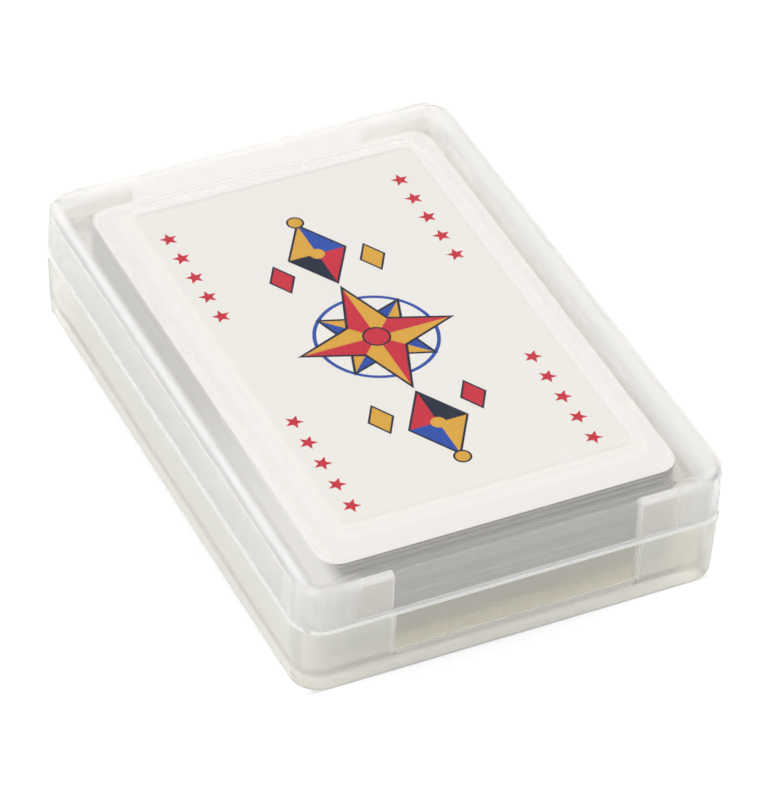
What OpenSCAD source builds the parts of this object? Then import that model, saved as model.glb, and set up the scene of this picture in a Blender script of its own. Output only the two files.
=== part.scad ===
// A deck of playing cards in a two-piece translucent plastic case.
// The deck lies face up on the tray's raised floor. The lid slips over the
// tray's liner and rests on the shoulder at the parting line.
// Origin: centre of the footprint, on the table. X runs across the cards,
// Y along them, Z up. All sizes are in millimetres and degrees.

/* [Cards] */
// Width of one card
card_w = 58; // [54:0.5:64]
// Length of one card
card_l = 88; // [84:0.5:92]
// Thickness of one card
card_t = 0.285; // [0.25:0.005:0.32]
// Corner radius of one card
card_r = 3.5; // [2:0.25:5]

/* [Fit] */
// Gap from the deck's long edges to the liner
side_play = 3; // [1:0.1:5]
// Gap from the deck's short edges to the liner
end_play = 2.8; // [1:0.1:5]
// Gap from the top card to the underside of the lid
head_room = 1.1; // [0.5:0.1:3]
// Gap from the liner to the inside of the lid's wall
fit_gap = 0.15; // [0.1:0.05:0.4]

/* [Walls] */
// Thickness of the tray's outer wall and of the lid's wall
wall = 1.1; // [0.8:0.1:1.6]
// Thickness of the liner at the parting line
liner_wall = 1.4; // [0.8:0.1:2]
// Thickness of the tray's floor
floor_t = 1.2; // [0.8:0.1:2]
// Thickness of the lid's top
lid_t = 1.2; // [0.8:0.1:2]
// Width of the foot ring at the table
foot_wall = 1.9; // [1.6:0.1:3]

/* [Heights] */
// Height of the floor's underside above the table
foot_h = 2.2; // [1:0.1:4]
// Height of the parting line above the table
tray_h = 12.2; // [9:0.1:15]
// How far the liner's top lies below the deck's top
liner_drop = 0.2; // [0:0.1:2]

/* [Case form] */
// Corner radius of the tray at the parting line
corner_r = 5; // [4.5:0.1:8]
// How far the tray's wall leans in, from the rim down to the foot
tray_taper = 0.6; // [0:0.05:1]
// How far the lid's wall leans in, from the parting line up to its top
lid_taper = 0.15; // [0:0.05:0.5]
// How far the lid's wall stands back from the tray's rim
rim_step = 0.2; // [0:0.05:0.4]
// Radius of the lid's upper edge
lid_edge_r = 1.5; // [0.5:0.1:2]
// Radius inside the lid's upper edge
lid_inner_r = 0.5; // [0.2:0.1:1]
// Radius of the tray's bottom edge
foot_edge_r = 1; // [0.3:0.1:1.4]
// Bevel of the liner's top edge and of the two edges at the parting line
rim_bevel = 0.3; // [0.1:0.05:0.4]

/* [Finger notches] */
// Width of the gap in the liner at each short end
notch_w = 40; // [20:1:46]

/* [Lid panel] */
// Distance from the case's outside to the flat top of the panel
panel_inset = 11.4; // [9:0.1:16]
// Width of the slope round the panel
panel_slope = 1.5; // [1:0.1:3]
// Width of the slope under the panel, inside the lid
panel_under_slope = 3; // [1:0.1:4]
// Height of the panel above the lid's top
panel_rise = 0.45; // [0.2:0.05:0.8]
// Corner radius of the panel's flat top
panel_r = 1.2; // [0.5:0.1:3]

/* [Hidden] */
$fn = 64;
overrun = 1;

suits = ["clubs", "diamonds", "hearts", "spades"];
ranks = [
    "king", "queen", "jack", "ten", "nine", "eight", "seven",
    "six", "five", "four", "three", "two", "ace"
];
suit_cards = [for (suit = suits) for (rank = ranks) str(rank, "_of_", suit)];
CARDS = concat(suit_cards, ["second_joker", "top_joker"]);

// Plan sizes, worked outwards from the cards
cavity_w = card_w + 2 * side_play;
cavity_l = card_l + 2 * end_play;
liner_w = cavity_w + 2 * liner_wall;
liner_l = cavity_l + 2 * liner_wall;
lid_w = liner_w + 2 * (fit_gap + wall);
lid_l = liner_l + 2 * (fit_gap + wall);
case_w = lid_w + 2 * rim_step;
case_l = lid_l + 2 * rim_step;

// Corner radii, all about the same corner centres
lid_r = corner_r - rim_step;
liner_r = lid_r - wall - fit_gap;
cavity_r = liner_r - liner_wall;
foot_r = corner_r - tray_taper;
recess_r = foot_r - foot_wall;

// Heights, worked upwards from the table
floor_top = foot_h + floor_t;
deck_top = floor_top + len(CARDS) * card_t;
liner_top = deck_top - liner_drop;
lid_under = deck_top + head_room;
lid_top = lid_under + lid_t;

// Lean of the tray's wall, and of the lid's wall and the liner inside it, in mm per mm of height
tray_lean = tray_taper / (tray_h - foot_edge_r - rim_bevel);
lid_lean = lid_taper / (lid_under - tray_h);

// Outline of a rounded rectangle, with true arcs at its corners
module rounded_rect(w, l, r) {
    square([w - 2 * r, l], center = true);
    square([w, l - 2 * r], center = true);
    for (x = [-1, 1])
        for (y = [-1, 1])
            translate([x * (w / 2 - r), y * (l / 2 - r)])
                circle(r);
}

// Half cross-section of a slab's edge, from its corner centre outwards. The outer line
// runs from u = low_u up to u = high_u, with a round or a bevel of the given size at each end.
module leaning_edge(low_u, high_u, z0, z1, low_round = 0, high_round = 0, low_bevel = 0, high_bevel = 0) {
    low = low_round + low_bevel;
    high = high_round + high_bevel;
    polygon([
        [0, z0],
        [low_u - low, z0],
        [low_u, z0 + low],
        [high_u, z1 - high],
        [high_u - high, z1],
        [0, z1]
    ]);
    if (low_round > 0)
        translate([low_u - low, z0 + low]) circle(low_round);
    if (high_round > 0)
        translate([high_u - high, z1 - high]) circle(high_round);
}

// Slab with rounded corners, whose edge all round has the cross-section of its child.
// The slab lies from z0 to z1, as the child does at u = 0.
module rounded_slab(w, l, r, z0, z1) {
    for (corner = [[1, 1, 0], [-1, 1, 90], [-1, -1, 180], [1, -1, 270]])
        translate([corner.x * (w / 2 - r), corner.y * (l / 2 - r), 0])
            rotate(corner.z)
                rotate_extrude(angle = 90)
                    children();
    rotate([90, 0, 0])
        linear_extrude(l - 2 * r, center = true)
            full_section(w / 2 - r, z0, z1)
                children();
    rotate([90, 0, 90])
        linear_extrude(w - 2 * r, center = true)
            full_section(l / 2 - r, z0, z1)
                children();
}

// Cross-section from edge to edge: the child on both sides of a plain middle
module full_section(half, z0, z1) {
    translate([-half, z0])
        square([2 * half, z1 - z0]);
    for (side = [0, 1])
        mirror([side, 0])
            translate([half, 0])
                children();
}

// Low panel with sloping sides, standing on z = 0 and reaching depth below it
module panel(slope, depth) {
    base_r = panel_r + slope;
    w = case_w - 2 * (panel_inset - slope);
    l = case_l - 2 * (panel_inset - slope);
    rounded_slab(w, l, base_r, -depth, panel_rise)
        polygon([[0, -depth], [base_r, -depth], [base_r, 0], [panel_r, panel_rise], [0, panel_rise]]);
}

// Cut for both finger gaps: through the liner, and down to the floor inside the outer wall
module finger_notches() {
    inner = cavity_l / 2 - overrun;
    wall_in = case_l / 2 - wall;
    wall_in_low = wall_in - (tray_h - floor_top) * tray_lean;
    for (end = [-90, 90])
        rotate([90, 0, end])
            linear_extrude(notch_w, center = true)
                polygon([
                    [inner, floor_top],
                    [wall_in_low, floor_top],
                    [wall_in, tray_h],
                    [case_l / 2, tray_h],
                    [case_l / 2, liner_top + overrun],
                    [inner, liner_top + overrun]
                ]);
}

// Lower half of the case: foot ring, raised floor, outer wall, and the liner that locates the lid
module tray() {
    color("Gainsboro", 0.6)
        difference() {
            union() {
                rounded_slab(case_w, case_l, corner_r, 0, tray_h)
                    leaning_edge(foot_r, corner_r, 0, tray_h, low_round = foot_edge_r, high_bevel = rim_bevel);
                rounded_slab(liner_w, liner_l, liner_r, tray_h - overrun, liner_top)
                    leaning_edge(
                        liner_r + overrun * lid_lean,
                        liner_r - (liner_top - tray_h) * lid_lean,
                        tray_h - overrun,
                        liner_top,
                        high_bevel = rim_bevel
                    );
            }
            translate([0, 0, floor_top])
                linear_extrude(liner_top - floor_top + overrun)
                    rounded_rect(cavity_w, cavity_l, cavity_r);
            translate([0, 0, -overrun])
                linear_extrude(foot_h + overrun)
                    rounded_rect(
                        case_w - 2 * (corner_r - recess_r),
                        case_l - 2 * (corner_r - recess_r),
                        recess_r
                    );
            finger_notches();
        }
}

// Upper half of the case: a shallow cap with a rounded upper edge and a low panel on top
module lid() {
    hollow_r = lid_r - wall;
    color("WhiteSmoke", 0.5)
        difference() {
            union() {
                rounded_slab(lid_w, lid_l, lid_r, tray_h, lid_top)
                    leaning_edge(
                        lid_r,
                        lid_r - lid_taper,
                        tray_h,
                        lid_top,
                        low_bevel = rim_bevel,
                        high_round = lid_edge_r
                    );
                translate([0, 0, lid_top])
                    panel(panel_slope, lid_t / 2);
            }
            rounded_slab(lid_w - 2 * wall, lid_l - 2 * wall, hollow_r, tray_h - overrun, lid_under)
                leaning_edge(
                    hollow_r + overrun * lid_lean,
                    hollow_r - lid_taper,
                    tray_h - overrun,
                    lid_under,
                    high_round = lid_inner_r
                );
            translate([0, 0, lid_under])
                panel(panel_under_slope, head_room / 2);
        }
}

// One card of the deck, counted upwards from the floor
module card(place) {
    color("Ivory")
        translate([0, 0, floor_top + place * card_t])
            linear_extrude(card_t)
                rounded_rect(card_w, card_l, card_r);
}

tray();
lid();
for (place = [0 : len(CARDS) - 1])
    card(place);
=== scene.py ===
import math
from functools import partial, partialmethod

import bmesh
import bpy
import numpy as np
from bpy.props import FloatProperty, FloatVectorProperty, IntProperty, PointerProperty
from mathutils import Color, Matrix, Vector


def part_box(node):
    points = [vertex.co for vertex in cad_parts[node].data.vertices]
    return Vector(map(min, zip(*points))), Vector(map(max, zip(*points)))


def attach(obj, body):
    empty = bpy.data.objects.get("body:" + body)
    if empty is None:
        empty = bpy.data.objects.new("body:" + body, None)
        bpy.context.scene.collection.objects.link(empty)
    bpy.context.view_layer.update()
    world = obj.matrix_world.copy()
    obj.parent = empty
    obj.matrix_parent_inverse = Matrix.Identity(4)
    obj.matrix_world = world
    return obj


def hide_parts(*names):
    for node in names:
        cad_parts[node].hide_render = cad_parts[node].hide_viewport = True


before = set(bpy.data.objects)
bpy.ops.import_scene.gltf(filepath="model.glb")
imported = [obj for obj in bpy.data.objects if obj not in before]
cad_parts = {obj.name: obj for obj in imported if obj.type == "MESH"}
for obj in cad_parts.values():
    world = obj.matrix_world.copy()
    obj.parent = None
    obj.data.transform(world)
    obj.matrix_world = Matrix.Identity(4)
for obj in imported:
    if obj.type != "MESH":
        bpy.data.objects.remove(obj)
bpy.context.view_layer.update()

bl_info = {
    "name": "Playing card deck in a case",
    "version": (1, 0, 0),
    "blender": (4, 5, 0),
    "location": "3D View > Sidebar > Card deck",
    "description": "Dresses a deck of playing cards in a two-piece clear plastic case",
    "category": "Add Mesh",
}

MM = 0.001
_, TRAY_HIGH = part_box("tray")
LID_LOW, LID_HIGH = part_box("lid")
CARD_LOW, CARD_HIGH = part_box("king_of_clubs")

# Largest value of an 8-bit colour channel
FULL_CHANNEL = 255
# Midway between two whole counts
HALF = 0.5
# How often light is mirrored inside the plastic before it gets out
INNER_MIRRORS = 1.5

SUITS = ("clubs", "diamonds", "hearts", "spades")
RED_SUITS = ("diamonds", "hearts")
COURT = ("king", "queen", "jack")
# For each rank: rows in each side column, rows in the middle column, and the pitch and the shift of the
# middle rows as shares of the side columns' length
PIP_ROWS = {
    **dict.fromkeys(COURT, (0, 2, 3 / 5, 0)),
    "ten": (4, 2, 2 / 3, 0),
    "nine": (4, 1, 1, 0),
    "eight": (3, 2, 1 / 2, 0),
    "seven": (3, 1, 1, 1 / 4),
    "six": (3, 0, 1, 0),
    "five": (2, 1, 1, 0),
    "four": (2, 0, 1, 0),
    "three": (0, 3, 1 / 2, 0),
    "two": (0, 2, 1, 0),
    "ace": (0, 1, 1, 0),
}
# The jokers from the lower one up, with True for the print in all colours
JOKERS = {"second_joker": False, "top_joker": True}

# Points that lie closer are welded
WELD_DISTANCE = 0.001 * MM
# Small rounds of the mouldings: in the tray's inner corners, at the liner's foot and at the lid's inner rim
CREASE_ROUND = 0.2 * MM
SEAT_ROUND = 0.1 * MM
LID_RIM_ROUND = 0.15 * MM
# Corner radius of the flat plates that close the tray's floor
FLOOR_PLATE_RADIUS = 0.4 * MM
# How far inside the panel's flat top its own flat plates end, in panel radii
PANEL_PLATE_INSET = 0.6
# Width of the strip between a card's flat sides and its cut edges, in edge rounds
EDGE_STRIP = 5
# How far inside the foot's outline the floor's shadow line lies, in foot rounds
CONTACT_INSET = 0.7
# Reach of the marks on a suit card and on an ace, and length of a column of marks, in millimetres
PIP_REACH = 4.6
ACE_REACH = 9.6
PIP_COLUMN_LENGTH = 54
# Each softbox's place and side in metres and its radiance, and the point that all are aimed at
SOFTBOXES = {
    "overhead_softbox": ((0.3, 0.4, 1.3), 1.0, 1.3),
    "left_softbox": ((-1.3, -0.1, 0.5), 0.8, 1.3),
    "right_softbox": ((1.2, 0.2, 0.6), 0.8, 2.2),
}
LAMP_AIM = (0, 0, 0.01)


def linear(red, green, blue):
    """Colour of 8-bit display values as a Blender colour: each channel through the sRGB curve."""
    display = Color((red / FULL_CHANNEL, green / FULL_CHANNEL, blue / FULL_CHANNEL))
    return (*display.from_srgb_to_scene_linear(), 1.0)


def length(name, description, size):
    """Property for a length, given in millimetres."""
    return FloatProperty(
        name=name, description=description, default=size * MM, min=0, precision=5, subtype="DISTANCE",
        unit="LENGTH",
    )


def turn(name, description, degrees):
    """Property for an angle, given in degrees."""
    return FloatProperty(
        name=name, description=description, default=math.radians(degrees), subtype="ANGLE", unit="ROTATION"
    )


def share(name, description, value):
    """Property for a number from 0 to 1."""
    return FloatProperty(name=name, description=description, default=value, min=0, max=1, subtype="FACTOR")


def clearness(name, place, value):
    """Property for the share of clear to milky plastic in one place."""
    return share(f"{name} clearness", f"Share of clear to milky plastic {place}", value)


def tint(name, description, red, green, blue):
    """Property for a colour, given as 8-bit display values."""
    colour = linear(red, green, blue)
    return FloatVectorProperty(
        name=name, description=description, default=colour, size=4, min=0, max=1, subtype="COLOR"
    )


class CaseSettings(bpy.types.PropertyGroup):
    """Sizes and finish of the two plastic halves."""

    corner_radius: length("Corner radius", "Corner radius of the tray at the parting line", 5)
    rim_step: length("Rim step", "How far the lid stands back from the tray's rim", 0.2)
    wall: length("Wall", "Thickness of the outer walls", 1.1)
    liner_wall: length("Liner wall", "Thickness of the liner at the parting line", 1.4)
    fit_gap: length("Fit gap", "Gap from the liner to the lid's wall", 0.15)
    floor: length("Floor", "Thickness of the tray's floor", 1.2)
    lid_top: length("Lid top", "Thickness of the lid's top", 1.2)
    foot_wall: length("Foot wall", "Width of the foot ring at the table", 1.9)
    tray_taper: length("Tray taper", "How far the tray's wall leans in towards the foot", 0.6)
    lid_taper: length("Lid taper", "How far the lid's wall leans in towards its top", 0.15)
    lid_round: length("Lid round", "Radius of the lid's upper edge", 1.5)
    foot_round: length("Foot round", "Radius of the tray's bottom edge", 1)
    rim_round: length("Rim round", "Radius of the edges at the parting line", 0.3)
    inner_round: length("Inner round", "Radius inside the lid's upper edge", 0.5)
    notch_width: length("Notch width", "Width of the finger gap at each short end", 40)
    panel_inset: length("Panel inset", "Distance from the case's outside to the panel's flat top", 11.4)
    panel_slope: length("Panel slope", "Width of the slope round the panel", 1.5)
    panel_under_slope: length("Under slope", "Width of the slope under the panel, inside the lid", 3)
    panel_rise: length("Panel rise", "Height of the panel above the lid's top", 0.45)
    panel_radius: length("Panel radius", "Corner radius of the panel's flat top", 1.2)
    panel_round: length("Panel round", "Radius of the soft edges along the panel's slope", 0.8)
    under_round: length("Under round", "The same for the slope under the panel", 4)
    lid_colour: tint("Lid colour", "Colour of the lid's plastic", 252, 250, 247)
    tray_colour: tint("Tray colour", "Colour of the tray's plastic", 251, 247, 236)
    floor_colour: tint("Floor colour", "Colour of the plastic in the tray's floor", 230, 225, 208)
    panel_clearness: clearness("Panel", "in the lid's panel", 0.995)
    border_clearness: clearness("Border", "in the lid's top round the panel", 0.94)
    # Painted light: the milkier stretches on the deck's left and right, at its near left and behind it make
    # them look lighter
    left_clearness: clearness("Left", "in the lid on the deck's left side", 0.8)
    near_clearness: clearness("Near", "at the near end of the deck's left side", 0.6)
    right_clearness: clearness("Right", "in the lid on the deck's right side", 0.6)
    back_clearness: clearness("Back", "in the lid's top behind the deck", 0.7)
    shoulder_clearness: clearness("Shoulder", "in the lid's long upper edges", 0.38)
    # Painted light: the far upper edge is milkier than the long ones, so that it looks lighter
    far_edge_clearness: clearness("Far edge", "in the lid's far upper edge", 0.25)
    corner_clearness: clearness("Corner", "in the lid's corners", 0.3)
    wall_clearness: clearness("Wall", "in the lid's wall and in the notches", 0.9)
    # Painted light: the tray's thick walls go from milky at the near left to clearer at the far right, which
    # makes both ends look lighter
    thick_clearness: clearness("Thick", "in the tray's thick walls at its near left", 0.5)
    far_clearness: clearness("Far", "in the tray's thick walls at its far right", 0.88)
    # Painted light: milk where the floor meets the wall in the notches lightens that crease's dark line
    floor_edge_clearness: clearness("Floor edge", "where the floor meets the wall in the notches", 0.4)
    # Partly painted highlight: milk along moulded edges and at the parting line stands in for the highlights
    # they catch, besides a frosted finish
    edge_clearness: clearness("Edge", "along moulded edges", 0.04)
    milk_depth: length("Milk depth", "How far light spreads inside milky plastic", 5)
    roughness: share("Roughness", "How much the lid's top blurs what lies behind it", 0.04)
    wall_roughness: share("Wall roughness", "How much the walls blur what lies behind them", 0.2)
    bend_roughness: share("Bend roughness", "The same for bent walls and in the notches", 0.26)


class CardSettings(bpy.types.PropertyGroup):
    """Sizes, inks and lie of the cards."""

    corner_radius: length("Corner radius", "Corner radius of one card", 3.5)
    edge_round: length("Edge round", "Radius of a card's cut edges", 0.04)
    air: length("Air", "Gap that is left between one card and the next", 0.02)
    stray: length("Stray", "How far a card may lie off the deck's middle", 0.12)
    stray_turn: turn("Stray turn", "How far a card may lie turned", 0.1)
    seed: IntProperty(name="Seed", description="Seed of the cards' lie", default=54)
    stock: tint("Stock", "Colour of the card stock", 246, 245, 242)
    # Painted shade: the cut edges' grey is darker than the paper itself, for the shade on the deck's sides
    # and between its cards
    edge: tint("Edge", "Colour of the cut edges", 184, 183, 179)
    red: tint("Red ink", "Red of the prints", 208, 38, 62)
    blue: tint("Blue ink", "Blue of the prints", 30, 78, 178)
    gold: tint("Gold ink", "Gold of the prints", 226, 172, 62)
    navy: tint("Navy ink", "Dark blue of the prints and their outlines", 22, 36, 62)


class StageSettings(bpy.types.PropertyGroup):
    """Camera, light and floor."""

    azimuth: turn("Azimuth", "Direction of the camera round the object", -27.494)
    elevation: turn("Elevation", "Height of the camera above the horizon", 40.436)
    roll: turn("Roll", "Tilt of the picture", 3.275)
    distance: length("Distance", "Distance from the camera to its target", 748.52)
    target: FloatVectorProperty(
        name="Target",
        description="Point at the middle of the picture",
        default=(0.75416 * MM, -4.40553 * MM, 10 * MM),
        subtype="XYZ",
        unit="LENGTH",
    )
    lens: FloatProperty(
        name="Lens", description="Focal length on a 36 mm sensor", default=222.73, unit="CAMERA"
    )
    sky: FloatProperty(
        name="Sky", description="Strength of the even light from all round", default=0.71, min=0
    )
    sky_slope: FloatVectorProperty(
        name="Sky slope",
        description="How much stronger the light is from the +X, +Y and +Z side than from the middle",
        default=(-0.1, 0.25, 0.2),
        subtype="XYZ",
    )
    mirrored_sky: share("Mirrored sky", "Share of the sky's strength that gloss mirrors", 0.8)
    flag_reach: turn("Flag reach", "Half width of the dark patch of sky that the lid's top mirrors", 17)
    flag_fade: turn("Flag fade", "Width of the soft edge of the dark patch", 6)
    flag_sky: share("Flag sky", "Strength of the sky in the dark patch", 0.1)
    floor_colour: tint("Floor colour", "Colour of the floor", 206, 206, 205)
    floor_lift: share("Floor lift", "Light that whitens the floor in the picture alone", 0.5)
    contact_width: length("Contact width", "Reach of the shadow line on each side of the foot's edge", 0.5)


def case():
    """Settings of the case."""
    return bpy.context.scene.deck_case


def cards():
    """Settings of the cards."""
    return bpy.context.scene.deck_cards


def stage():
    """Settings of the stage."""
    return bpy.context.scene.deck_stage


def filleted(corners, radii, steps=6):
    """Open polyline with its inner corners rounded. Each corner becomes an arc that touches both its
    lines: it starts radius / tan(half the angle) before the corner, its centre lies on the bisector
    at radius / sin(half the angle), and its points turn evenly from the first touch to the last."""
    corners = np.asarray(corners, float)
    radii = np.asarray(radii, float)[:, None]
    here = corners[1:-1]
    back = corners[:-2] - here
    ahead = corners[2:] - here
    back /= np.linalg.norm(back, axis=1, keepdims=True)
    ahead /= np.linalg.norm(ahead, axis=1, keepdims=True)
    half = np.arccos((back * ahead).sum(1, keepdims=True)) / 2
    bisector = back + ahead
    bisector /= np.linalg.norm(bisector, axis=1, keepdims=True)
    centre = here + bisector * radii / np.sin(half)
    first = here + back * radii / np.tan(half) - centre
    last = here + ahead * radii / np.tan(half) - centre
    swing = (np.pi - 2 * half)[:, :, None]
    way = np.linspace(0, 1, steps + 1)[None, :, None]
    arc = np.sin((1 - way) * swing) * first[:, None] + np.sin(way * swing) * last[:, None]
    arcs = centre[:, None] + arc / np.sin(swing)
    return np.vstack([corners[:1], arcs.reshape(-1, 2), corners[-1:]])


def round_trip(stop=None, steps=16):
    """Stations of one turn round a rounded rectangle, anticlockwise from its +X side. Each station is
    (side_x, fixed_x, side_y, cos, sin): the point at side_x * a + fixed_x + r * cos across and at
    side_y * b + r * sin along, for a corner centre at (a, b) and a corner radius r. With a stop,
    each short side has a station at X = stop and one at X = -stop."""
    angle = np.radians(np.linspace(0, 90, steps + 1))
    turned = angle[None] + np.radians([[0], [90], [180], [270]])
    side_x = np.broadcast_to([[1], [-1], [-1], [1]], turned.shape)
    side_y = np.broadcast_to([[1], [1], [-1], [-1]], turned.shape)
    corners = np.stack([side_x, np.zeros_like(turned), side_y, np.cos(turned), np.sin(turned)], axis=2)
    if stop is None:
        return np.vstack(corners)
    far = [(0, stop, 1, 0, 1), (0, -stop, 1, 0, 1)]
    near = [(0, -stop, -1, 0, -1), (0, stop, -1, 0, -1)]
    return np.vstack([corners[0], far, corners[1], corners[2], near, corners[3]])


def rings(stations, centre, profile, radius=None):
    """A profile carried round a rounded rectangle. Row i of the grid is the ring at the profile's
    point (u, z): its sides lie u outside the corner centres, at height z, and its corner radius is
    u unless another is given."""
    u, z = np.asarray(profile, float).T[:, :, None]
    r = u if radius is None else np.asarray(radius, float)[:, None]
    side_x, fixed_x, side_y, cos, sin = np.asarray(stations, float).T[:, None]
    x = side_x * (centre[0] + u - r) + fixed_x + r * cos
    y = side_y * (centre[1] + u - r) + r * sin
    return np.stack([x, y, np.broadcast_to(z, x.shape)], axis=2)


def grid_faces(rows, columns, closed):
    """Quads of a grid of points, numbered row by row. A closed grid joins its last column to its first."""
    row = np.arange(rows - 1)[:, None] * columns
    column = np.arange(columns if closed else columns - 1)[None]
    after = (column + 1) % columns
    quads = [row + column, row + columns + column, row + columns + after, row + after]
    return np.stack(quads, axis=2).reshape(-1, 4)


def solid(name, skins, plates):
    """Mesh of one closed solid. skins are (grid of points, closed) and plates are flat outlines, whose
    shared edges are welded and whose faces are turned outwards."""
    points, faces, count = [], [], 0
    for grid, closed in skins:
        points.append(grid.reshape(-1, 3))
        faces += (grid_faces(*grid.shape[:2], closed) + count).tolist()
        count += len(points[-1])
    for outline in plates:
        points.append(outline)
        faces.append((np.arange(len(outline)) + count).tolist())
        count += len(outline)
    mesh = bpy.data.meshes.new(name)
    mesh.from_pydata(np.vstack(points).tolist(), [], faces)
    welded = bmesh.new()
    welded.from_mesh(mesh)
    bmesh.ops.remove_doubles(welded, verts=welded.verts, dist=WELD_DISTANCE)
    bmesh.ops.recalc_face_normals(welded, faces=welded.faces)
    if any(not edge.is_manifold for edge in welded.edges):
        raise RuntimeError(f"{name} is not closed")
    welded.to_mesh(mesh)
    welded.free()
    return mesh


def add_piece(mesh, materials, body, nodes, sharp_degrees=40):
    """Object of a finished mesh, smooth up to the sharp angle, that rides its body for its nodes."""
    piece = bpy.data.objects.new(mesh.name, mesh)
    bpy.context.scene.collection.objects.link(piece)
    for material in materials:
        mesh.materials.append(material)
    mesh.shade_smooth()
    mesh.set_sharp_from_angle(angle=math.radians(sharp_degrees))
    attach(piece, body)
    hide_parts(*nodes)
    return piece


def even_normals(piece):
    """Lets flat faces keep their own normals beside the round edges."""
    modifier = piece.modifiers.new("even_normals", "WEIGHTED_NORMAL")
    modifier.keep_sharp = True


class Field:
    """A number that shader nodes work out at each point of a surface. Sums, products and comparisons of
    fields make the nodes. A comparison is a mask of ones and zeros: & joins masks, | adds them and ~
    turns one round."""

    def __init__(self, tree, socket):
        self.tree = tree
        self.socket = socket

    def math(self, operation, *others):
        node = self.tree.nodes.new("ShaderNodeMath")
        node.operation = operation
        for socket, value in zip(node.inputs, (self, *others)):
            if isinstance(value, Field):
                self.tree.links.new(value.socket, socket)
            else:
                socket.default_value = value
        return Field(self.tree, node.outputs[0])

    __add__ = partialmethod(math, "ADD")
    __sub__ = partialmethod(math, "SUBTRACT")
    __mul__ = partialmethod(math, "MULTIPLY")
    __truediv__ = partialmethod(math, "DIVIDE")
    __pow__ = partialmethod(math, "POWER")
    __mod__ = partialmethod(math, "FLOORED_MODULO")
    __abs__ = partialmethod(math, "ABSOLUTE")
    __lt__ = partialmethod(math, "LESS_THAN")
    __gt__ = partialmethod(math, "GREATER_THAN")
    __and__ = partialmethod(math, "MINIMUM")
    __or__ = partialmethod(math, "MAXIMUM")

    def __neg__(self):
        return self * -1

    def __invert__(self):
        return -self + 1


def new_material(name):
    """Empty principled material, with its tree and shader."""
    material = bpy.data.materials.new(name)
    material.use_nodes = True
    tree = material.node_tree
    return material, tree, tree.nodes["Principled BSDF"]


def parts(tree, vector):
    """Fields of the three parts of a vector socket."""
    split = tree.nodes.new("ShaderNodeSeparateXYZ")
    tree.links.new(vector, split.inputs[0])
    return [Field(tree, socket) for socket in split.outputs]


def object_point(tree):
    """Fields of the object's own X, Y and Z, in millimetres."""
    coordinates = tree.nodes.new("ShaderNodeTexCoord")
    return [part / MM for part in parts(tree, coordinates.outputs["Object"])]


def noise(tree, grain, stretch=(1, 1, 1), detail=2):
    """Field of soft noise on object coordinates, with its cells in a metre and a stretch along each axis."""
    coordinates = tree.nodes.new("ShaderNodeTexCoord")
    mapping = tree.nodes.new("ShaderNodeMapping")
    mapping.inputs["Scale"].default_value = stretch
    texture = tree.nodes.new("ShaderNodeTexNoise")
    texture.inputs["Scale"].default_value = grain
    texture.inputs["Detail"].default_value = detail
    tree.links.new(coordinates.outputs["Object"], mapping.inputs["Vector"])
    tree.links.new(mapping.outputs["Vector"], texture.inputs["Vector"])
    return Field(tree, texture.outputs["Fac"])


def between(field, low, high):
    """Field that runs from low to high while the given one runs from 0 to 1."""
    return field * (high - low) + low


def ramp(field, start, full):
    """Field that goes evenly from 0 at start to 1 at full and is level beyond them."""
    return ((field - start) / (full - start) | 0) & 1


def soft_line(field, half_width, core=0.6):
    """Mask of a line along which a field is 0, full in its core and faded out at its half width."""
    return ramp(abs(field), half_width, core * half_width)


def painted(tree, base, layers):
    """Colour socket of layers of ink, (mask, colour) from the lowest up, on a base colour."""
    below = None
    for mask, ink in layers:
        mix = tree.nodes.new("ShaderNodeMix")
        mix.data_type = "RGBA"
        factor, lower, upper = mix.inputs["Factor"], mix.inputs[6], mix.inputs[7]
        tree.links.new(mask.socket, factor)
        if below is None:
            lower.default_value = base
        else:
            tree.links.new(below, lower)
        upper.default_value = ink
        below = mix.outputs[2]
    return below


def let_light_pass(tree, shader):
    """Lets lamps and bounced light pass the plastic unbent, as thin clear walls do, and lets out light
    that the plastic has mirrored inside itself a few times."""
    path = tree.nodes.new("ShaderNodeLightPath")
    lit = Field(tree, path.outputs["Is Shadow Ray"]) | Field(tree, path.outputs["Is Diffuse Ray"])
    lit = lit | (Field(tree, path.outputs["Glossy Depth"]) > INNER_MIRRORS)
    through = tree.nodes.new("ShaderNodeBsdfTransparent")
    mix = tree.nodes.new("ShaderNodeMixShader")
    tree.links.new(lit.socket, mix.inputs["Fac"])
    tree.links.new(shader.outputs["BSDF"], mix.inputs[1])
    tree.links.new(through.outputs["BSDF"], mix.inputs[2])
    tree.links.new(mix.outputs["Shader"], tree.nodes["Material Output"].inputs["Surface"])


def clear_plastic(name, colour):
    """Clear moulded plastic with a milky share, which light passes."""
    material, tree, shader = new_material(name)
    shader.inputs["Base Color"].default_value = colour
    shader.inputs["IOR"].default_value = 1.49
    shader.inputs["Subsurface Weight"].default_value = 1
    shader.inputs["Subsurface Radius"].default_value = (1, 1, 1)
    shader.inputs["Subsurface Scale"].default_value = case().milk_depth
    let_light_pass(tree, shader)
    return material, tree, shader


def milkier(clear, stretches):
    """Field of clearness, held down to each stretch's own clearness by the stretch's mask."""
    for mask, most in stretches:
        clear = clear & between(mask, 1, most)
    return clear


def finish_plastic(tree, shader, clear, rough):
    """Sets how clear and how rough the plastic is, from fields, with a gloss that varies a little."""
    tree.links.new(clear.socket, shader.inputs["Transmission Weight"])
    gloss = rough * between(noise(tree, grain=400), low=0.8, high=1)
    tree.links.new(gloss.socket, shader.inputs["Roughness"])


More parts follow.
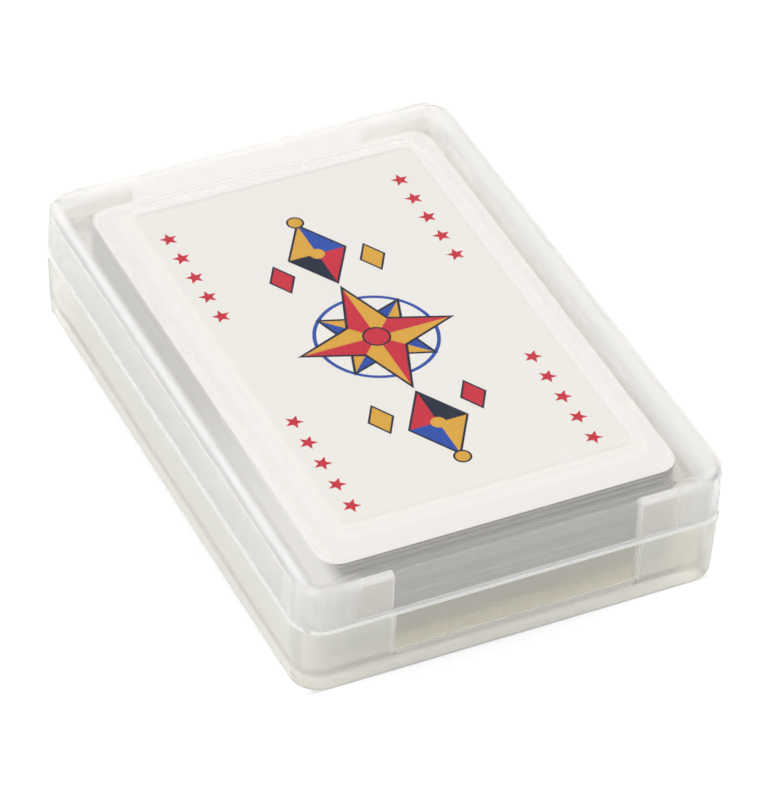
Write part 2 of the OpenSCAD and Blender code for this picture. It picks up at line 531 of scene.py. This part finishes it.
def lid_plastic():
    """Plastic of the lid: clear over the cards, and milkier beside and behind them, along its edges, in
    its corners and at its rim. The milk beside, behind and right of the cards, at their near left and
    along the far upper edge is painted light that makes these stretches look lighter, and the milk at the
    rim is partly a painted highlight. Light spreads inside the milk, but where it stays at the surface,
    which paints them lighter still: along the far and right upper edges, in the far corners, at the
    cards' near left and behind them. Lengths are in millimetres, or in what they are divided by."""
    sizes = case()
    material, tree, shader = clear_plastic("lid_plastic", sizes.lid_colour)
    x, y, z = object_point(tree)
    lid_x, lid_y, _ = LID_HIGH / MM
    card_x, card_y, _ = CARD_HIGH / MM
    wall = sizes.wall / MM
    radius = sizes.corner_radius / MM
    panel_foot = (sizes.panel_slope - sizes.panel_inset) / MM
    past_x = abs(x) - lid_x
    past_y = abs(y) - lid_y
    past = past_x | past_y
    above_top = z - (LID_HIGH.z - sizes.panel_rise) / MM

    border = ramp(past - panel_foot, start=-0.5, full=0.5)
    side = ramp(past / wall, start=-1.5, full=-0.3)
    rim = ramp(z - LID_LOW.z / MM, start=0.45, full=0.35)
    high = ramp(above_top / wall, start=-2, full=-1)
    shoulder = high & ramp(past_x / wall, start=-2.2, full=-1.2)
    right_edge = high & ramp((x - lid_x) / wall, start=-2.2, full=-1.2)
    # Painted light: the far upper edge is made milkier than the long ones, so that it looks lighter
    far_edge = high & ramp((y - lid_y) / wall, start=-3, full=-2.2)
    corner = side & ramp((past_x & past_y) / radius, start=-2, full=-0.6)
    far_corner = high & corner & (y > 0)
    # Painted light: the stretches beside, at the near left, on the right and behind the cards are made
    # milkier, so that they look lighter
    left = ramp(-x - card_x, start=-2, full=1)
    near_left = high & left & ~shoulder & ramp(y / card_y, start=0.6, full=-0.8)
    right = high & ramp(x - card_x, start=-2, full=1)
    behind = high & ramp(y - card_y, start=-3.2, full=-2)

    # Painted light: the milk stays at the surface, where it looks lighter, along the far and right upper
    # edges, in the far corners, at the near left and behind the cards
    deep = ~(far_edge | right_edge | far_corner | near_left | behind)
    tree.links.new(deep.socket, shader.inputs["Subsurface Weight"])
    stretches = [
        (side, sizes.wall_clearness),
        (left, sizes.left_clearness),
        (near_left, sizes.near_clearness),
        (right, sizes.right_clearness),
        (behind, sizes.back_clearness),
        (shoulder, sizes.shoulder_clearness),
        (far_edge, sizes.far_edge_clearness),
        (corner, sizes.corner_clearness),
        # Partly painted highlight: the milky rim stands in for the light line along the parting line
        (rim, sizes.edge_clearness),
    ]
    clear = milkier(between(border, sizes.panel_clearness, sizes.border_clearness), stretches)
    rough = between(side, sizes.roughness, sizes.wall_roughness)
    rough = rough | (shoulder | far_edge | corner) * sizes.bend_roughness
    finish_plastic(tree, shader, clear, rough)
    return material


def tray_plastic():
    """Plastic of the tray: milky where it is thick and along its edges, clearer in the notches and
    towards its far right, with a deeper colour in its floor. Going from milky at the near left to clearer
    at the far right is painted light that makes both ends look lighter, the milk where the floor meets
    the wall in the notches is painted light over that crease's dark line, and the milk along the edges
    is partly a painted highlight. Lengths are as in the lid's plastic."""
    sizes = case()
    material, tree, shader = clear_plastic("tray_plastic", sizes.tray_colour)
    x, y, z = object_point(tree)
    tray_x, tray_y, tray_z = TRAY_HIGH / MM
    foot_wall = sizes.foot_wall / MM
    floor_line_rise = 0.2
    past = (abs(x) - tray_x) | (abs(y) - tray_y)
    past_cards = abs(y) - CARD_HIGH.y / MM
    past_notch = abs(x) - sizes.notch_width / 2 / MM
    above_floor = z - CARD_LOW.z / MM

    outer = ramp(past_cards, start=2, full=2.1) & ramp(above_floor, start=-0.3, full=1.3)
    thin = outer & ramp(past_notch, start=0, full=-0.1)
    # Partly painted highlight: the milky lines at the notches' ends, the liner's top and the rim stand in
    # for the highlights these edges catch
    notch_end = outer & soft_line(past_notch, half_width=0.15)
    liner_top = ramp(z - tray_z, start=-0.5, full=-0.3)
    rim = soft_line(z - LID_LOW.z / MM, half_width=0.45) & ramp(past, start=-2, full=-1)
    # Painted light: milk along the crease where the floor meets the wall in the notches lightens its dark
    # line
    floor_line = soft_line(above_floor - floor_line_rise, half_width=0.9)
    floor_edge = floor_line & ramp(past, start=-2.2, full=-1.8) & ramp(past_notch, start=0, full=-1)
    slab = ramp(above_floor, start=0.3, full=0.1) & ramp(past / foot_wall, start=-1.2, full=-1.6)
    # Painted light: the thick walls grow clearer towards the far right, which makes both ends look lighter
    far_right = ramp(x / tray_x + y / tray_y, start=-0.6, full=1)

    colour = painted(tree, sizes.tray_colour, [(slab, sizes.floor_colour)])
    tree.links.new(colour, shader.inputs["Base Color"])
    thick = between(far_right, sizes.thick_clearness, sizes.far_clearness)
    edges = notch_end | liner_top | rim
    stretches = [(floor_edge, sizes.floor_edge_clearness), (edges, sizes.edge_clearness)]
    clear = milkier(thick * ~thin + thin * sizes.wall_clearness, stretches)
    finish_plastic(tree, shader, clear, between(thin, sizes.wall_roughness, sizes.bend_roughness))
    return material


def cut_edge(darker=0.72):
    """Cut edge of coated paper: a pale grey that is darker than the paper itself as painted shade of the
    deck's sides, with darker streaks along the cards, painted shade between the cards mixed with tone
    that differs at random.
    """
    material, tree, shader = new_material("card_edge")
    edge = cards().edge
    # Painted shade: darker streaks along the cards, for the shade between them, mixed with tone that differs
    # at random
    shade_streaks = between(noise(tree, grain=600, stretch=(0.15, 0.15, 4)), low=0.15, high=0.4)
    shade = (*(darker * channel for channel in edge[:3]), 1)
    tree.links.new(painted(tree, edge, [(shade_streaks, shade)]), shader.inputs["Base Color"])
    shader.inputs["Roughness"].default_value = 0.75
    return material


def coated_paper(name, layers_on):
    """Printed side of a card: inks under a thin gloss, with the fine linen of coated paper."""
    material, tree, shader = new_material(name)
    x, y, _ = object_point(tree)
    tree.links.new(painted(tree, cards().stock, layers_on(x, y)), shader.inputs["Base Color"])
    linen = noise(tree, grain=2500, detail=1)
    tree.links.new(between(linen, low=0.3, high=0.44).socket, shader.inputs["Roughness"])
    ripple = tree.nodes.new("ShaderNodeBump")
    ripple.inputs["Strength"].default_value = 0.05
    ripple.inputs["Distance"].default_value = 0.05 * MM
    tree.links.new(linen.socket, ripple.inputs["Height"])
    tree.links.new(ripple.outputs["Normal"], shader.inputs["Normal"])
    return material


def shared_paper():
    """The cut edge and the printed back that all cards have, made once."""
    edge = bpy.data.materials.get("card_edge") or cut_edge()
    back = bpy.data.materials.get("card_back") or coated_paper("card_back", back_inks)
    return edge, back


def oblong(x, y, half_x, half_y):
    """Mask of an upright rectangle."""
    return (abs(x) < half_x) & (abs(y) < half_y)


def lozenge(x, y, half_x, half_y):
    """Mask of an upright lozenge: |x| / half_x + |y| / half_y under 1."""
    return abs(x) / half_x + abs(y) / half_y < 1


def disc(x, y, radius):
    """Mask of a disc."""
    return x * x + y * y < radius * radius


def lattice_line(x, y, pitch, half_line):
    """Mask of the lines of a lozenge lattice: x + y or x - y lies within half a line of a multiple of
    the pitch."""
    rising = abs((x + y + pitch / 2) % pitch - pitch / 2) < half_line
    falling = abs((x - y + pitch / 2) % pitch - pitch / 2) < half_line
    return rising | falling


def four_star(x, y, reach, waist):
    """Mask of a four-pointed star with its points on the axes and its valleys at (waist, waist): the
    larger of |x| and |y| over reach, plus the smaller times (1 / waist - 1 / reach), is under 1."""
    far = abs(x) | abs(y)
    near = abs(x) & abs(y)
    return far / reach + near * (1 / waist - 1 / reach) < 1


def five_star(x, y, reach, valley):
    """Mask of a five-pointed star, one point up. The angle is folded into half a point, where the star
    is what lies inside the line from the tip at reach to the valley."""
    half_point = math.pi / 5
    folded = abs((x.math("ARCTAN2", y) + half_point) % (2 * half_point) - half_point)
    radius = (x * x + y * y).math("SQRT")
    along = radius * folded.math("COSINE") - reach
    across = radius * folded.math("SINE")
    return across * (reach - valley * math.cos(half_point)) + along * (valley * math.sin(half_point)) < 0


def heart(x, y, reach):
    """Mask of a heart: with x and y over reach, (x^2 + y^2 - 1)^3 is under x^2 y^3."""
    across = x / reach
    along = y / reach
    bulge = across * across + along * along - 1
    return bulge * bulge * bulge < across * across * along * along * along


def stem(x, y, neck=0.06, flare=0.24, depth=1.15):
    """Mask of the foot of a spade or a club: it widens downwards as the cube of the depth."""
    down = -y
    return (abs(x) < down * down * down * flare + neck) & (down > 0) & (down < depth)


def suit_pip(suit, x, y):
    """Mask of one suit mark that reaches from about -1 to 1: a heart, an upturned heart on a stem, a
    lozenge with slightly hollow sides, or three leaves round a hub on a stem."""
    if suit == "hearts":
        drop = 0.1
        return heart(x, y + drop, reach=0.86)
    if suit == "spades":
        rise = 0.12
        return heart(x, -y + rise, reach=0.8) | stem(x, y)
    if suit == "diamonds":
        half_width = 0.74
        hollow = 0.88
        return (abs(x) / half_width) ** hollow + abs(y) ** hollow < 1
    leaf = 0.42
    spread = 0.48
    drop = 0.12
    rise = 0.5
    leaves = disc(abs(x) - spread, y + drop, leaf) | disc(x, y - rise, leaf)
    return leaves | disc(x, y, radius=0.25) | stem(x, y)


def star_column(x, y):
    """Mask of a column of stars at each corner, upright in the upper half and upside down below."""
    column_x = 19.7
    lowest_y = 10.7
    pitch = 5
    rows = 5
    height = abs(y) - lowest_y
    star = five_star(abs(x) - column_x, height % pitch - pitch / 2, reach=1.55, valley=0.651)
    return star & (height > 0) & (height < rows * pitch)


def joker_inks(x, y, bright):
    """Layers of a joker's own design: a compass star, with a quartered lozenge and small ones above and
    below it, the same when turned round. bright picks the coloured print or the one-colour print.
    Sizes are in millimetres, and an outline is a larger dark shape under the coloured one."""
    ink = cards()
    red, blue, gold, navy = ink.red, ink.blue, ink.gold, ink.navy
    if not bright:
        red = blue = navy
        gold = ink.stock
    hub = 1.9
    gem_up = 21.4
    small_side = 7.6
    small_up = 17.6
    ball_up = 29.6
    ball = 1.1
    outline = 0.32
    side = x * y.math("SIGN")
    up = abs(y)
    slant_x = (x + y) / math.sqrt(2)
    slant_y = (y - x) / math.sqrt(2)
    gem_y = up - gem_up
    small_x = abs(x) - small_side
    small_y = up - small_up
    ball_y = up - ball_up
    facet = x * y * (abs(x) - abs(y)) > 0
    right = side > 0
    upper = gem_y > 0
    ring = disc(x, y, radius=9.7) & ~disc(x, y, radius=9.1)
    diagonal = four_star(slant_x, slant_y, reach=9, waist=3)
    upright = four_star(x, y, reach=12, waist=3.2)
    gem = lozenge(side, gem_y, half_x=4.6, half_y=7.2)
    small = lozenge(small_x, small_y, half_x=1.8, half_y=3)
    return [
        (ring, blue),
        (four_star(slant_x, slant_y, reach=9.9, waist=3.3), navy),
        (diagonal & facet, gold),
        (diagonal & ~facet, blue),
        (four_star(x, y, reach=13.1, waist=3.55), navy),
        (upright & facet, red),
        (upright & ~facet, gold),
        (disc(x, y, hub + outline), navy),
        (disc(x, y, hub), red),
        (lozenge(side, gem_y, half_x=5, half_y=7.9), navy),
        (gem & right & upper, blue),
        (gem & ~right & upper, gold),
        (gem & right & ~upper, red),
        (gem & ~right & ~upper, navy),
        (disc(side, gem_y, radius=1.2), gold),
        (lozenge(small_x, small_y, half_x=2.2, half_y=3.6), navy),
        (small & right, gold),
        (small & ~right, red),
        (disc(x, ball_y, ball + outline), navy),
        (disc(x, ball_y, ball), gold),
        (star_column(x, y), red),
    ]


def attribute_parts(tree, name):
    """Fields of the three parts of a vector that the mesh holds."""
    node = tree.nodes.new("ShaderNodeAttribute")
    node.attribute_name = name
    return parts(tree, node.outputs["Vector"])


def pip_column(suit, x, y, rows, pitch, shift, reach):
    """Mask of a column of suit marks: the nearest of its rows, which stand pitch apart about shift, and
    which are upside down below the card's middle."""
    last = rows - 1
    row = ((y - shift) / pitch + last / 2).math("ROUND")
    row = (row | 0) & last
    middle = (row - last / 2) * pitch + shift
    tolerance = 1
    upright = (middle > -tolerance) * 2 - 1
    return suit_pip(suit, x / reach, (y - middle) * upright / reach) & (rows > HALF)


def suit_inks(suit, x, y):
    """Layers of a suit card: its marks as the mesh's attributes say, a frame with a lattice on a court
    card, and a small mark at two corners. Sizes are in millimetres."""
    ink = cards()
    colour = ink.red if suit in RED_SUITS else ink.navy
    column_x = 13
    corner_x = 24.4
    corner_y = 37.6
    corner_reach = 2.2
    side_rows, side_pitch, court = attribute_parts(x.tree, "side_pips")
    middle_rows, middle_pitch, middle_shift = attribute_parts(x.tree, "middle_pips")
    ace = side_rows + middle_rows < 1 + HALF
    side = pip_column(suit, abs(x) - column_x, y, side_rows, side_pitch, 0, PIP_REACH)
    reach = between(ace, PIP_REACH, ACE_REACH)
    middle = pip_column(suit, x, y, middle_rows, middle_pitch, middle_shift, reach)
    framed = oblong(x, y, half_x=18.4, half_y=32) & (court > HALF)
    lattice = framed & lattice_line(x, y, pitch=6, half_line=0.35)
    frame_line = framed & ~oblong(x, y, half_x=18, half_y=31.6)
    across = x * y.math("SIGN") + corner_x
    corner = suit_pip(suit, across / corner_reach, (abs(y) - corner_y) / corner_reach)
    return [
        (lattice, ink.gold),
        (frame_line, ink.blue),
        (side | middle | corner, colour),
    ]


def back_inks(x, y):
    """Layers of the traditional back: a white edge, and a lozenge lattice with dots inside a double line.
    Sizes are in millimetres."""
    blue = cards().blue
    stock = cards().stock
    pitch = 4
    field = oblong(x, y, half_x=23.6, half_y=38.6)
    dot_x = (x + y) % pitch - pitch / 2
    dot_y = (x - y) % pitch - pitch / 2
    return [
        (oblong(x, y, half_x=25, half_y=40), blue),
        (oblong(x, y, half_x=24.2, half_y=39.2), stock),
        (field, blue),
        (field & lattice_line(x, y, pitch, half_line=0.3), stock),
        (field & disc(dot_x, dot_y, radius=0.75), stock),
    ]


def card_lies():
    """Seeded shift and turn of every card, from the floor up."""
    sizes = cards()
    count = len(SUITS) * len(PIP_ROWS) + len(JOKERS)
    draw = np.random.default_rng(sizes.seed).uniform(-1, 1, (count, 3))
    return draw * [sizes.stray, sizes.stray, sizes.stray_turn]


def card_mesh(name, place, lie):
    """One card: a rounded rectangle with slightly rounded cut edges, moved and turned by its lie."""
    sizes = cards()
    half = (CARD_HIGH - CARD_LOW) / 2
    pitch = CARD_HIGH.z - CARD_LOW.z
    low = CARD_LOW.z + place * pitch
    high = low + pitch - sizes.air
    r = sizes.corner_radius
    soft = sizes.edge_round
    plate_r = r - EDGE_STRIP * soft
    profile = filleted([(plate_r, high), (r, high), (r, low), (plate_r, low)], [soft, soft], steps=2)
    grid = rings(round_trip(steps=10), (half.x - r, half.y - r), profile)
    shift_x, shift_y, swing = lie
    cos, sin = math.cos(swing), math.sin(swing)
    x, y = grid[..., 0].copy(), grid[..., 1].copy()
    grid[..., 0] = cos * x - sin * y + shift_x
    grid[..., 1] = sin * x + cos * y + shift_y
    return solid(name, [(grid, True)], [grid[0], grid[-1]])


def print_sides(mesh, flat=0.9):
    """Gives the flat top the first material, the cut edges the second and the flat bottom the third."""
    normals = np.empty(len(mesh.polygons) * 3)
    mesh.polygons.foreach_get("normal", normals)
    up = normals.reshape(-1, 3)[:, 2]
    side = np.select([up > flat, up < -flat], [0, 2], default=1)
    mesh.polygons.foreach_set("material_index", side.astype(np.int32))


def set_pips(mesh, rank):
    """Writes how the card's marks stand into the mesh: the rows and pitch of the side columns with
    whether it is a court card, and the rows, pitch and shift of the middle column."""
    side, middle, spread, shift = PIP_ROWS[rank]
    values = {
        "side_pips": (side, PIP_COLUMN_LENGTH / max(side - 1, 1), rank in COURT),
        "middle_pips": (middle, PIP_COLUMN_LENGTH * spread, PIP_COLUMN_LENGTH * shift),
    }
    for name, value in values.items():
        attribute = mesh.attributes.new(name, "FLOAT_VECTOR", "POINT")
        attribute.data.foreach_set("vector", np.tile(np.array(value, np.float32), len(mesh.vertices)))


class DECK_OT_tray(bpy.types.Operator):
    """Add the lower half of the case, with its liner and finger notches"""

    bl_idname = "card_deck.tray"
    bl_label = "Tray"

    def execute(self, context):
        sizes = case()
        r = sizes.corner_radius
        centre = (TRAY_HIGH.x - r, TRAY_HIGH.y - r)
        parting = LID_LOW.z
        liner_top = TRAY_HIGH.z
        floor_top = CARD_LOW.z
        floor_under = floor_top - sizes.floor
        plate_r = FLOOR_PLATE_RADIUS
        liner_r = r - sizes.rim_step - sizes.wall - sizes.fit_gap
        cavity_r = liner_r - sizes.liner_wall
        lid_lean = sizes.lid_taper / (LID_HIGH.z - sizes.panel_rise - sizes.lid_top - parting)
        liner_top_r = liner_r - (liner_top - parting) * lid_lean
        foot_r = r - sizes.tray_taper
        recess_r = foot_r - sizes.foot_wall
        wall_in = r - sizes.wall
        wall_in_low = wall_in - sizes.tray_taper * (parting - floor_top) / parting
        rim = (r - 2 * sizes.rim_round, parting)

        outside = filleted(
            [rim, (r, parting), (foot_r, 0), (recess_r, 0), (recess_r, floor_under), (plate_r, floor_under)],
            [sizes.rim_round, sizes.foot_round, sizes.foot_round / 2, sizes.foot_round],
        )
        liner = filleted(
            [(plate_r, floor_top), (cavity_r, floor_top), (cavity_r, liner_top)]
            + [(liner_top_r, liner_top), (liner_r, parting), rim],
            [CREASE_ROUND, sizes.rim_round, sizes.rim_round, SEAT_ROUND],
        )
        notch = filleted(
            [(plate_r, floor_top), (wall_in_low, floor_top), (wall_in, parting), rim],
            [CREASE_ROUND, SEAT_ROUND],
        )

        # The liner goes round each long side as far as the notches, which have a skin of their own
        trip = round_trip(sizes.notch_width / 2)
        far = np.flatnonzero((trip[:, 0] == 0) & (trip[:, 2] > 0))
        near = np.flatnonzero((trip[:, 0] == 0) & (trip[:, 2] < 0))
        left = trip[far[1] : near[0] + 1]
        right = np.vstack([trip[near[1] :], trip[: far[0] + 1]])
        skins = [(rings(trip, centre, outside), True)]
        skins += [(rings(side, centre, liner), False) for side in (left, right)]
        skins += [(rings(trip[gap], centre, notch), False) for gap in (far, near)]
        floor = rings(trip, centre, liner[:1])[0]
        underside = rings(trip, centre, outside[-1:])[0]
        section = np.vstack([liner, notch[-2:0:-1]])
        ends = rings(trip[np.concatenate([far, near])], centre, section)
        mesh = solid("tray_shell", skins, [floor, underside, *ends.transpose(1, 0, 2)])
        even_normals(add_piece(mesh, [tray_plastic()], "tray", ["tray"]))
        return {"FINISHED"}


class DECK_OT_lid(bpy.types.Operator):
    """Add the upper half of the case, with its raised panel"""

    bl_idname = "card_deck.lid"
    bl_label = "Lid"

    def execute(self, context):
        sizes = case()
        r = sizes.corner_radius - sizes.rim_step
        centre = (LID_HIGH.x - r, LID_HIGH.y - r)
        parting = LID_LOW.z
        panel_top = LID_HIGH.z
        top = panel_top - sizes.panel_rise
        under = top - sizes.lid_top
        hollow_r = r - sizes.wall
        panel_u = sizes.corner_radius - sizes.panel_inset
        plate_u = panel_u - PANEL_PLATE_INSET * sizes.panel_radius
        slope_u = panel_u + sizes.panel_slope
        under_u = panel_u + sizes.panel_under_slope
        outer = [(plate_u, panel_top), (panel_u, panel_top), (slope_u, top), (r - sizes.lid_taper, top)]
        rim = [(r, parting), (hollow_r, parting)]
        inner = [(hollow_r - sizes.lid_taper, under), (under_u, under)]
        inner += [(u, under + sizes.panel_rise) for u in (panel_u, plate_u)]
        outer_rounds = [sizes.panel_round, sizes.panel_round, sizes.lid_round]
        rim_rounds = [sizes.rim_round, LID_RIM_ROUND]
        inner_rounds = [sizes.inner_round, sizes.under_round, sizes.under_round]
        profile = filleted(outer + rim + inner, outer_rounds + rim_rounds + inner_rounds)

        # Corner radii follow the panel's out to the foot of its slopes, and the lid's own near its outside
        under_r = sizes.panel_radius + sizes.panel_under_slope
        edge_u = r - 2 * sizes.lid_round
        known_u = [plate_u, under_u, edge_u, r]
        known_r = [plate_u - under_u + under_r, under_r, edge_u, r]
        grid = rings(round_trip(), centre, profile, np.interp(profile[:, 0], known_u, known_r))
        mesh = solid("lid_shell", [(grid, True)], [grid[0], grid[-1]])
        even_normals(add_piece(mesh, [lid_plastic()], "lid", ["lid"]))
        return {"FINISHED"}


class DECK_OT_suit_cards(bpy.types.Operator):
    """Add the four packets of thirteen suit cards"""

    bl_idname = "card_deck.suit_cards"
    bl_label = "Suit cards"

    def execute(self, context):
        lies = card_lies()
        for packet, suit in enumerate(SUITS):
            face = coated_paper(f"{suit}_face", partial(suit_inks, suit))
            for step, rank in enumerate(PIP_ROWS):
                place = packet * len(PIP_ROWS) + step
                node = f"{rank}_of_{suit}"
                mesh = card_mesh(f"{node}_card", place, lies[place])
                set_pips(mesh, rank)
                print_sides(mesh)
                add_piece(mesh, [face, *shared_paper()], f"{suit}_packet", [node])
        return {"FINISHED"}


class DECK_OT_jokers(bpy.types.Operator):
    """Add the two jokers on top of the deck"""

    bl_idname = "card_deck.jokers"
    bl_label = "Jokers"

    def execute(self, context):
        lies = card_lies()
        for place, (node, bright) in enumerate(JOKERS.items(), len(SUITS) * len(PIP_ROWS)):
            face = coated_paper(f"{node}_face", partial(joker_inks, bright=bright))
            mesh = card_mesh(f"{node}_card", place, lies[place])
            print_sides(mesh)
            add_piece(mesh, [face, *shared_paper()], node, [node])
        return {"FINISHED"}


def seen_ray(tree):
    """Field that is one for what the picture shows, straight, mirrored or through plastic, and not for
    light that has met a matt surface."""
    path = tree.nodes.new("ShaderNodeLightPath")
    camera, glossy, through, bounces = (
        Field(tree, path.outputs[name])
        for name in ("Is Camera Ray", "Is Glossy Ray", "Is Transmission Ray", "Diffuse Depth")
    )
    return camera | ((glossy | through) & (bounces < HALF))


def add_floor():
    """Wide pale floor that takes the object's shadow and looks white in the picture, but for a narrow
    line of shadow along the near edge of the object's foot."""
    half = 6
    outline = half * np.array([(-1, -1, 0), (1, -1, 0), (1, 1, 0), (-1, 1, 0)], float)
    mesh = bpy.data.meshes.new("floor")
    mesh.from_pydata(outline.tolist(), [], [(0, 1, 2, 3)])
    material, tree, shader = new_material("floor")
    shader.inputs["Base Color"].default_value = stage().floor_colour
    shader.inputs["Roughness"].default_value = 0.9
    shader.inputs["Specular IOR Level"].default_value = 0.1
    shader.inputs["Emission Color"].default_value = (1, 1, 1, 1)
    x, y, _ = object_point(tree)
    foot_x = (TRAY_HIGH.x - case().tray_taper) / MM
    foot_y = (TRAY_HIGH.y - case().tray_taper - CONTACT_INSET * case().foot_round) / MM
    contact = soft_line(y + foot_y, stage().contact_width / MM)
    contact = contact & ramp(abs(x), foot_x, foot_x - case().corner_radius / MM)
    lift = seen_ray(tree) * between(contact, stage().floor_lift, 0)
    tree.links.new(lift.socket, shader.inputs["Emission Strength"])
    mesh.materials.append(material)
    floor = bpy.data.objects.new("floor", mesh)
    bpy.context.scene.collection.objects.link(floor)


def sky_dot(tree, direction):
    """Field of how far the sky's direction at a point goes along the given one."""
    coordinates = tree.nodes.new("ShaderNodeTexCoord")
    dot = tree.nodes.new("ShaderNodeVectorMath")
    dot.operation = "DOT_PRODUCT"
    dot.inputs[1].default_value = direction
    tree.links.new(coordinates.outputs["Generated"], dot.inputs[0])
    return Field(tree, dot.outputs["Value"])


def add_sky():
    """Soft white light from all round, stronger from some sides and weaker where gloss mirrors it, with a
    dark patch round the direction that the lid's flat top mirrors to the picture."""
    view = stage()
    world = bpy.data.worlds.new("sky")
    world.use_nodes = True
    tree = world.node_tree
    background = tree.nodes["Background"]
    background.inputs["Color"].default_value = (1, 1, 1, 1)
    level = math.cos(view.elevation)
    mirrored = (-math.sin(view.azimuth) * level, math.cos(view.azimuth) * level, math.sin(view.elevation))
    inside = math.cos(view.flag_reach)
    outside = math.cos(view.flag_reach + view.flag_fade)
    flag = ramp(sky_dot(tree, mirrored), outside, inside)
    light = sky_dot(tree, view.sky_slope) + view.sky | 0
    strength = light * ~flag + flag * view.flag_sky
    path = tree.nodes.new("ShaderNodeLightPath")
    strength = strength * between(Field(tree, path.outputs["Is Glossy Ray"]), 1, view.mirrored_sky)
    tree.links.new(strength.socket, background.inputs["Strength"])
    bpy.context.scene.world = world


def add_softbox(name, place, side, radiance):
    """Square lamp with an even face, aimed at the object: its power is pi times its area times its
    radiance. Gloss doesn't mirror it, and it doesn't show through the plastic."""
    lamp = bpy.data.lights.new(name, "AREA")
    lamp.shape = "SQUARE"
    lamp.size = side
    lamp.energy = math.pi * side * side * radiance
    holder = bpy.data.objects.new(name, lamp)
    holder.visible_glossy = False
    holder.visible_transmission = False
    holder.location = place
    holder.rotation_euler = (Vector(LAMP_AIM) - Vector(place)).to_track_quat("-Z", "Y").to_euler()
    bpy.context.scene.collection.objects.link(holder)


def add_camera():
    """Camera at its azimuth, elevation and roll, looking at its target."""
    view = stage()
    azimuth, elevation, roll = view.azimuth, view.elevation, view.roll
    level = math.cos(elevation)
    back = Vector((math.sin(azimuth) * level, -math.cos(azimuth) * level, math.sin(elevation)))
    right = Vector((math.cos(azimuth), math.sin(azimuth), 0))
    up = back.cross(right)
    tilted_right = math.cos(roll) * right + math.sin(roll) * up
    tilted_up = back.cross(tilted_right)
    camera = bpy.data.cameras.new("camera")
    camera.sensor_width = 36
    camera.lens = view.lens
    camera.clip_end = 100
    holder = bpy.data.objects.new("camera", camera)
    turned = Matrix((tilted_right, tilted_up, back)).transposed().to_4x4()
    holder.matrix_world = Matrix.Translation(Vector(view.target) + view.distance * back) @ turned
    bpy.context.scene.collection.objects.link(holder)
    bpy.context.scene.camera = holder


class DECK_OT_stage(bpy.types.Operator):
    """Add the floor, the light and the camera"""

    bl_idname = "card_deck.stage"
    bl_label = "Stage"

    def execute(self, context):
        add_floor()
        add_sky()
        for name, (place, side, radiance) in SOFTBOXES.items():
            add_softbox(name, place, side, radiance)
        add_camera()
        context.scene.view_settings.view_transform = "Standard"
        return {"FINISHED"}


OPERATORS = (DECK_OT_stage, DECK_OT_tray, DECK_OT_lid, DECK_OT_suit_cards, DECK_OT_jokers)


class DECK_PT_sidebar(bpy.types.Panel):
    """Lists the deck's pieces and their settings"""

    bl_idname = "DECK_PT_sidebar"
    bl_label = "Card deck"
    bl_space_type = "VIEW_3D"
    bl_region_type = "UI"
    bl_category = "Card deck"

    def draw(self, context):
        for operator in OPERATORS:
            self.layout.operator(operator.bl_idname)
        for group in (context.scene.deck_case, context.scene.deck_cards, context.scene.deck_stage):
            box = self.layout.box()
            for name in group.__annotations__:
                box.prop(group, name)


CLASSES = (CaseSettings, CardSettings, StageSettings, *OPERATORS, DECK_PT_sidebar)


def register():
    for item in CLASSES:
        bpy.utils.register_class(item)
    bpy.types.Scene.deck_case = PointerProperty(type=CaseSettings)
    bpy.types.Scene.deck_cards = PointerProperty(type=CardSettings)
    bpy.types.Scene.deck_stage = PointerProperty(type=StageSettings)


def unregister():
    del bpy.types.Scene.deck_stage
    del bpy.types.Scene.deck_cards
    del bpy.types.Scene.deck_case
    for item in reversed(CLASSES):
        bpy.utils.unregister_class(item)


def main():
    register()
    for call in (
        bpy.ops.card_deck.stage,
        bpy.ops.card_deck.tray,
        bpy.ops.card_deck.lid,
        bpy.ops.card_deck.suit_cards,
        bpy.ops.card_deck.jokers,
    ):
        call()
    bpy.context.view_layer.update()


if __name__ == "__main__":
    main()
